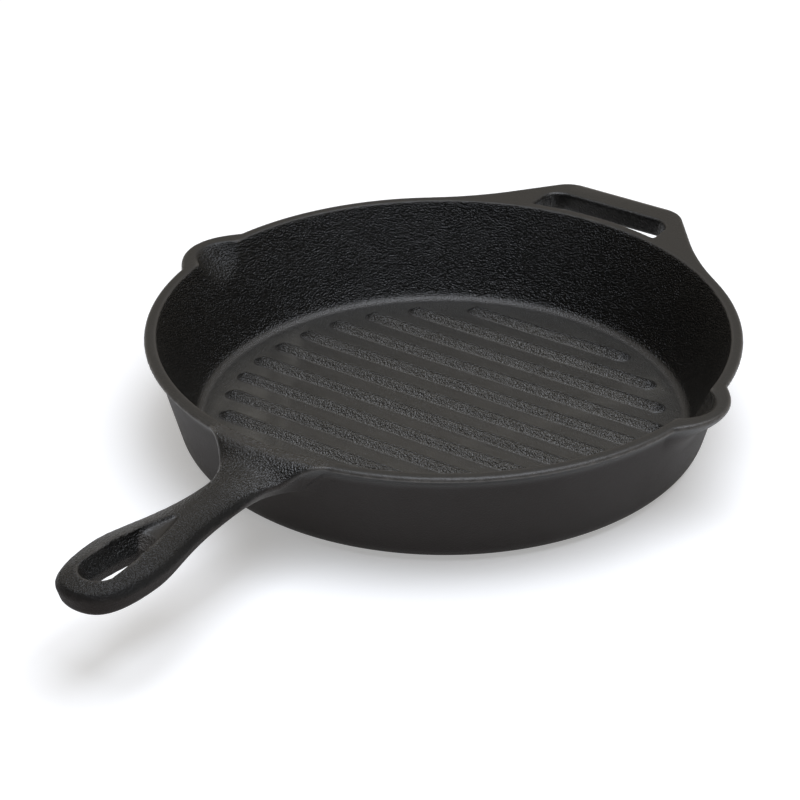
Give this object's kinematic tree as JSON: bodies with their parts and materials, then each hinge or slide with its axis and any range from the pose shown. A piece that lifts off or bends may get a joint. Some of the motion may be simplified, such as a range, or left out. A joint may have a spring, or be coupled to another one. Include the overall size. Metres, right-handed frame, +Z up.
{
  "type": "grill pan",
  "caption": "Round cast iron grill pan with a ribbed floor, pour lips on both sides, a long handle with an egg-shaped hanging hole and a short helper handle with a finger slot.",
  "frame": {"origin": "centre of the flat underside of the bowl", "axes": "+Z up through the rim; the long handle points along -X, the helper handle along +X, the pour lips along +Y and -Y, and the grill ribs run along Y"},
  "size_m": [0.4037, 0.2764, 0.0485],
  "materials": {
    "bowl": "seasoned, fine pebbled sand casting",
    "handles": "seasoned, smoother sand casting",
    "ribs": "seasoned, smooth tops and pebbled sides"
  },
  "bodies": {
    "root": {"pan_bowl": "bowl", "long_handle": "handles", "helper_handle": "handles", "grill_rib_01": "ribs", "grill_rib_02": "ribs", "grill_rib_03": "ribs", "grill_rib_04": "ribs", "grill_rib_05": "ribs", "grill_rib_06": "ribs", "grill_rib_07": "ribs", "grill_rib_08": "ribs", "grill_rib_09": "ribs", "grill_rib_10": "ribs", "grill_rib_11": "ribs", "grill_rib_12": "ribs"}
  },
  "joints": []
}
